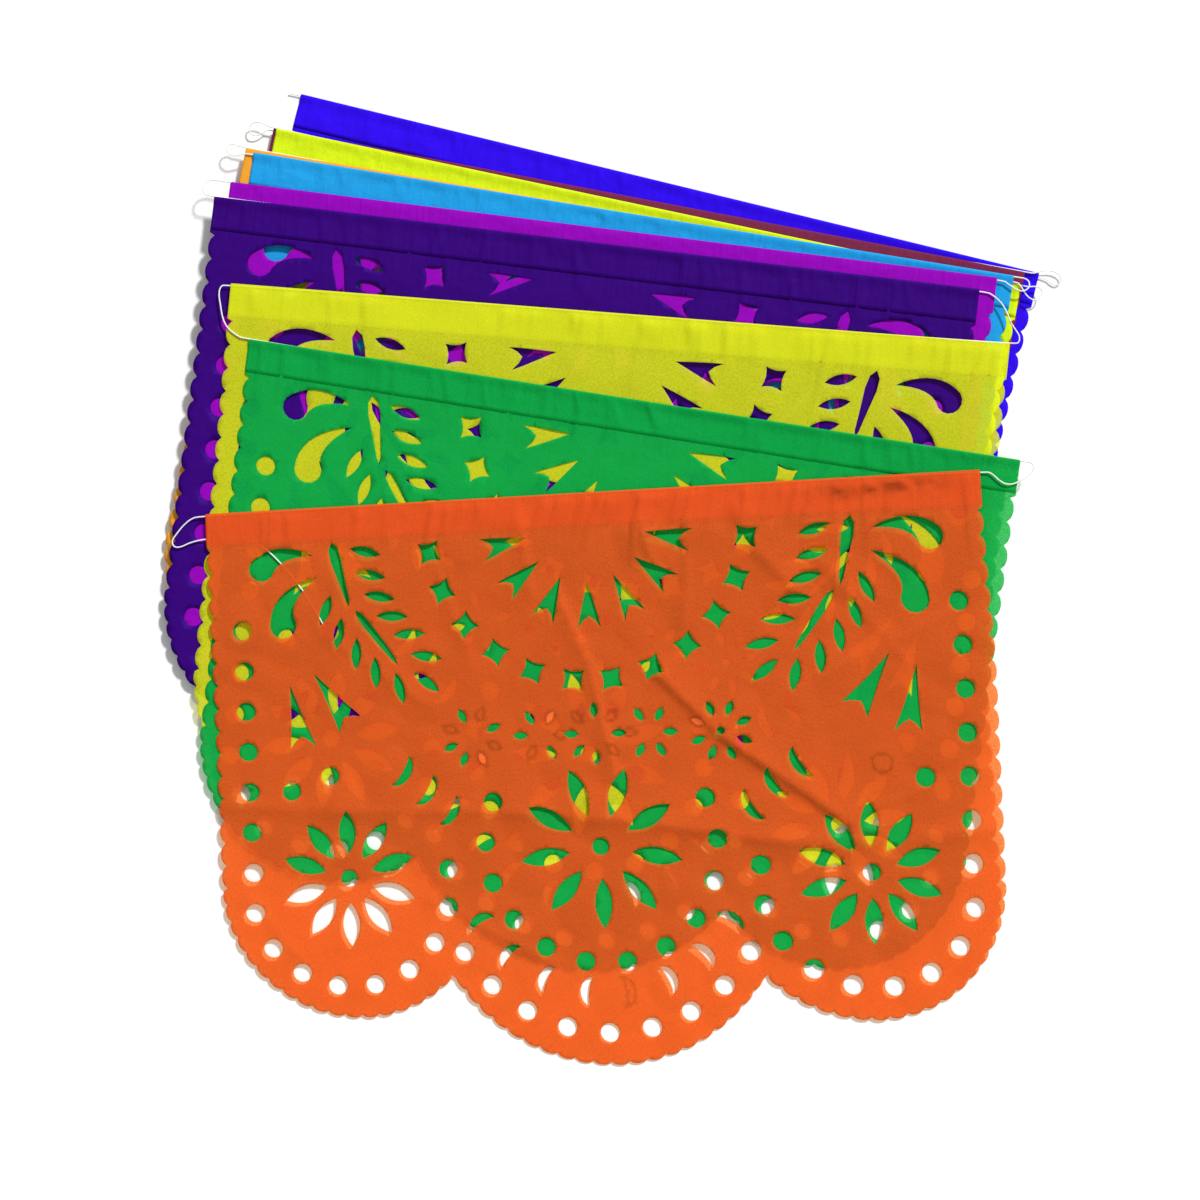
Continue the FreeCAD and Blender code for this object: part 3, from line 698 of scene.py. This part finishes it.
def tissue(slot):
    """Thin dyed tissue: cloudy fibres, a soft crumple and, in the top three sheets, some see-through."""
    base, tint, opacity = COLOURS[slot]
    material = bpy.data.materials.new(slot)
    material.use_nodes = True
    tree = material.node_tree
    tree.nodes.clear()
    sheet_place = attribute(tree, "sheet_place", "Vector")
    cloud = noise(tree, sheet_place, 45, 2)
    fibre = noise(tree, stretched(tree, sheet_place, (1.0, 0.8, 1.0)), 850, 2, 0.7)
    crumple = noise(tree, sheet_place, 120, 2, 0.5)
    pucker = noise(tree, stretched(tree, sheet_place, (1.0, 0.13, 1.0)), 300, 1, 0.5)
    colour = blended(tree, ranged(tree, cloud, 0.3, 0.7, 0, 1), scaled(base, 0.93), scaled(base, 1.0))
    colour = blended(tree, ranged(tree, fibre, 0.38, 0.66, 0, 0.40), colour, scaled(base, 0.72))
    # The outlines round the petals that stayed in and the loose ones are painted darker: painted shade in the
    # slit round each petal.
    outline_shade = ranged(tree, attribute(tree, "pressed"), 0, 1, 0, 0.42)
    colour = blended(tree, outline_shade, colour, scaled(base, 0.30))
    # The loose petals are painted lighter: painted light for the light that the lifted petals catch.
    colour = blended(tree, ranged(tree, attribute(tree, "kept_in"), 0, 1, 0, 0.8), colour, scaled(base, 1.25))
    colour = blended(tree, ranged(tree, attribute(tree, "glue"), 0, 1, 0, 0.75), colour, scaled(base, 0.30))
    near_hem = summed(tree, pucker, attribute(tree, "near_hem"), "MULTIPLY")
    relief = summed(tree, crumple, near_hem)
    bump = add(tree, "ShaderNodeBump")
    bump.inputs["Strength"].default_value = 0.6
    bump.inputs["Distance"].default_value = 0.0009
    tree.links.new(relief, bump.inputs["Height"])
    paper = add(tree, "ShaderNodeBsdfPrincipled")
    paper.inputs["Roughness"].default_value = 0.6
    paper.inputs["Specular IOR Level"].default_value = 0.05
    tree.links.new(colour, paper.inputs["Base Color"])
    tree.links.new(bump.outputs["Normal"], paper.inputs["Normal"])
    output = add(tree, "ShaderNodeOutputMaterial")
    if tint is None:
        tree.links.new(paper.outputs[0], output.inputs["Surface"])
        return material
    through = add(tree, "ShaderNodeBsdfTransparent")
    through.inputs["Color"].default_value = (*tint, 1)
    mix = add(tree, "ShaderNodeMixShader")
    patchy = ranged(tree, fibre, 0.36, 0.66, opacity - 0.10, opacity + 0.10)
    solid = summed(tree, patchy, ranged(tree, attribute(tree, "kept_in"), 0, 1, 0, 0.4))
    tree.links.new(solid, mix.inputs[0])
    tree.links.new(through.outputs[0], mix.inputs[1])
    tree.links.new(paper.outputs[0], mix.inputs[2])
    tree.links.new(mix.outputs[0], output.inputs["Surface"])
    return material


def twine():
    """White twine, with the slant of its twisted strands and painted shade in the grooves between them."""
    material = bpy.data.materials.new("white_twine")
    material.use_nodes = True
    tree = material.node_tree
    paper = tree.nodes["Principled BSDF"]
    where = add(tree, "ShaderNodeTexCoord").outputs["Object"]
    strand = add(tree, "ShaderNodeTexWave", bands_direction="DIAGONAL")
    strand.inputs["Scale"].default_value = 900
    strand.inputs["Distortion"].default_value = 1.5
    tree.links.new(where, strand.inputs["Vector"])
    bump = add(tree, "ShaderNodeBump")
    bump.inputs["Strength"].default_value = 0.5
    bump.inputs["Distance"].default_value = 0.0001
    tree.links.new(strand.outputs["Fac"], bump.inputs["Height"])
    tree.links.new(bump.outputs["Normal"], paper.inputs["Normal"])
    # The darker diagonal bands are painted shade in the grooves between the strands.
    groove_shade = ranged(tree, strand.outputs["Fac"], 0, 1, 0, 0.5)
    shade = blended(tree, groove_shade, (0.90, 0.89, 0.86), (0.70, 0.69, 0.66))
    tree.links.new(shade, paper.inputs["Base Color"])
    paper.inputs["Roughness"].default_value = 0.8
    return material


# The sheets, from the bottom of the pile up

TOP_STEP = 2.3
LOWER_STEP = 4.6


def glue_smear(x, y):
    """A dried smear along the right of the top hem."""
    ax, ay = from_photo(800, 494)
    bx, by = from_photo(955, 482)
    along = (x - ax) / (bx - ax)
    across = y - (ay + (by - ay) * along)
    return eased(along, -0.1, 0.25) * eased(-along, -1.05, -0.8) * np.exp(-(across / 3.5) ** 2) \
        * (0.5 + 0.5 * waves(x, y, 3, 6, 6, 22))


def make_sheets():
    top_net = flat_net(TOP_STEP)
    lower_net = flat_net(LOWER_STEP)
    for index in reversed(range(len(SHEETS))):
        sheet = SHEETS[index]
        node, slot = sheet[:2]
        flat, triangles, pressed, kept_in = top_net if index == 0 else lower_net
        middle = lay(sheet, index, flat)
        piece, numbers = shell(node.replace("sheet_", "tissue_"), middle, triangles, TISSUE * MM)
        paint(piece, "pressed", pressed[numbers])
        paint(piece, "kept_in", kept_in[numbers])
        paint(piece, "near_hem", eased(-flat[:, 1], -60.0, -8.0)[numbers])
        sheet_place = np.column_stack([flat * MM, np.full(len(flat), index * 1.0)])
        paint(piece, "sheet_place", sheet_place[numbers])
        smear = glue_smear(middle[:, 0] / MM, middle[:, 1] / MM) if index == 0 else np.zeros(len(middle))
        paint(piece, "glue", np.clip(smear, 0, 1)[numbers])
        piece.data.materials.append(tissue(slot))
        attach(piece, "root")
        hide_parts(node)


# The string: the part's own route, as the control points of one smooth line

HEM_LEAD = 3.0
LAST_END = (-7, 1)
LINKS = [
    [(7.6, -2.2, 0), (11, -5.6, 0), (15.1, -8, 0), (19.8, -7.7, 0.1), (24.8, -5, 0.2), (29, -2.6, 0.5),
     (31.4, 1.2, 0.7), (30.2, 4.8, 0.9)],
    [(-6.8, 2.6, 0), (-10.8, 5.4, 0), (-14, 9.6, 0.15), (-15.6, 14.8, 0.35), (-16.4, 20.6, 0.55),
     (-17.4, 26, 0.8), (-16.6, 30.6, 1)],
    [(5.6, 1.6, 0), (5.6, 5.2, 0), (3.2, 8.6, 0), (0.4, 13, 0.2), (-1.6, 18.6, 0.4), (-4.6, 24, 0.6),
     (-9.4, 28.4, 0.9)],
    [(-5.8, 2.4, 0), (-6.8, 6.2, 0.3), (-4.4, 9.6, 0.7), (0, 10.6, 1)],
    [(6.4, -3.2, 0), (10.8, -6.2, 0), (15, -7.6, 0.1), (18.8, -5.2, 0.4), (18.8, -1.4, 0.7), (16, 0.4, 1)],
    [(-7.4, -0.8, 0), (-11.8, -1.6, 0), (-15.6, 0.6, 0.3), (-15.6, 4.6, 0.7), (-12, 6.2, 1)],
    [(5.8, -3.2, 0), (7.6, -6.6, 0), (10.2, -10.2, 0), (14.2, -12, 0.1), (18, -10.4, 0.3), (19, -6.6, 0.6),
     (16.6, -3.8, 0.9), (12.8, -3.6, 1)],
    [(-6.6, 2.9, 0), (-10.8, 4.6, 0), (-15, 3.2, 0.3), (-16, -0.4, 0.6), (-14.4, -3.4, 0.9), (-10.6, -3.4, 1),
     (-7.2, -1.2, 1)],
    [(7, 0.2, 0), (12, 1.6, 0), (17.4, 1, 0.2), (21.4, -2.2, 0.5), (20.6, -6.8, 0.8), (16, -7, 1)],
]
TAIL = [(-8.6, -2.2), (-13, -6), (-16.6, -10.6), (-19.6, -14.6), (-18.4, -18.4), (-14.2, -18.4),
        (-9.6, -16), (-4, -14.4), (3, -13.4), (12, -13), (21, -13.2), (29.6, -15.6), (37.2, -21.4),
        (44.4, -28.8), (51.4, -37), (57.6, -45.6), (63.2, -54.8), (68.2, -64)]


def hem_run(index):
    """The string's straight run through a hem: a lead, the hem's two ends and a lead."""
    sheet = SHEETS[index]
    hem = radians(sheet[4])
    along = Vector((cos(hem), sin(hem), 0))
    inset = Vector((sin(hem), -cos(hem), 0)) * (TUNNEL / 2)
    rise = PAPER + TUNNEL / 2 if face_down(index) else -TUNNEL / 2
    ends = []
    for side in (-1, 1):
        end = Vector((*place(sheet, side * HALF_WIDTH, 0.0), 0)) + inset
        end.z = pile_height(index, end.x, end.y) + rise
        ends.append(end)
    run = [ends[0] - along * HEM_LEAD, ends[0], ends[1], ends[1] + along * HEM_LEAD]
    return run[::-1] if face_down(index) else run


def string_route():
    end = hem_run(0)[1]
    route = []
    for x, y in TAIL[::-1]:
        over = Vector((end.x + x, end.y + y, 0))
        over.z = (pile_height(0, over.x, over.y) + pile_height(1, over.x, over.y) + PAPER) / 2
        route.append(over)
    for index in range(len(SHEETS)):
        run = hem_run(index)
        route += [run[0], run[3]]
        if index < len(LINKS):
            fall = hem_run(index + 1)[1].z - run[2].z
            route += [run[2] + Vector((x, y, fall * share)) for x, y, share in LINKS[index]]
    return route + [hem_run(len(SHEETS) - 1)[2] + Vector((*LAST_END, 0))]


def make_string():
    route = string_route()
    curve = bpy.data.curves.new("twine", "CURVE")
    curve.dimensions = "3D"
    curve.bevel_depth = STRING_DIAMETER / 2 * MM
    curve.bevel_resolution = 3
    curve.use_fill_caps = True
    curve.resolution_u = 8
    spline = curve.splines.new("NURBS")
    spline.points.add(len(route) - 1)
    for point, place_of in zip(spline.points, route):
        point.co = (*(place_of * MM), 1)
    spline.order_u = 3
    spline.use_endpoint_u = True
    piece = bpy.data.objects.new("twine", curve)
    bpy.context.scene.collection.objects.link(piece)
    curve.materials.append(twine())
    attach(piece, "root")
    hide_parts("string")


# Floor, light and camera

def make_stage():
    mesh = bpy.data.meshes.new("floor")
    side = FLOOR_SIDE
    corners = [(-side, -side), (side, -side), (side, side), (-side, side)]
    mesh.from_pydata([(x, y, FLOOR_Z) for x, y in corners], [], [(0, 1, 2, 3)])
    floor = bpy.data.objects.new("floor", mesh)
    bpy.context.scene.collection.objects.link(floor)
    material = bpy.data.materials.new("floor")
    material.use_nodes = True
    paint_coat = material.node_tree.nodes["Principled BSDF"].inputs
    paint_coat["Base Color"].default_value = (FLOOR_GREY, FLOOR_GREY, FLOOR_GREY, 1)
    paint_coat["Roughness"].default_value = 0.9
    paint_coat["Specular IOR Level"].default_value = 0.1
    floor.data.materials.append(material)


def make_light():
    world = bpy.data.worlds.new("soft")
    world.use_nodes = True
    world.node_tree.nodes["Background"].inputs["Color"].default_value = (1, 1, 1, 1)
    world.node_tree.nodes["Background"].inputs["Strength"].default_value = SKY_STRENGTH
    bpy.context.scene.world = world
    sun = bpy.data.lights.new("key", "SUN")
    sun.energy = SUN_STRENGTH
    sun.angle = radians(SUN_SIZE)
    lamp = bpy.data.objects.new("key", sun)
    lamp.rotation_euler = Vector(SUN_FROM).to_track_quat("Z", "Y").to_euler()
    bpy.context.scene.collection.objects.link(lamp)


def make_camera():
    """Straight down, with the photograph's frame at about the top of the pile."""
    lens = bpy.data.cameras.new("camera")
    camera = bpy.data.objects.new("camera", lens)
    bpy.context.scene.collection.objects.link(camera)
    bpy.context.scene.camera = camera
    distance = 1.6
    pile_top = 0.008
    middle = from_photo(PHOTO_SIDE / 2, PHOTO_SIDE / 2)
    camera.location = (middle[0] * MM, middle[1] * MM, distance + pile_top)
    lens.sensor_width = 36.0
    lens.lens = lens.sensor_width * distance / (PHOTO_SIDE * PIXEL * MM)


make_sheets()
make_string()
make_stage()
make_light()
make_camera()
bpy.context.scene.view_settings.view_transform = "Standard"
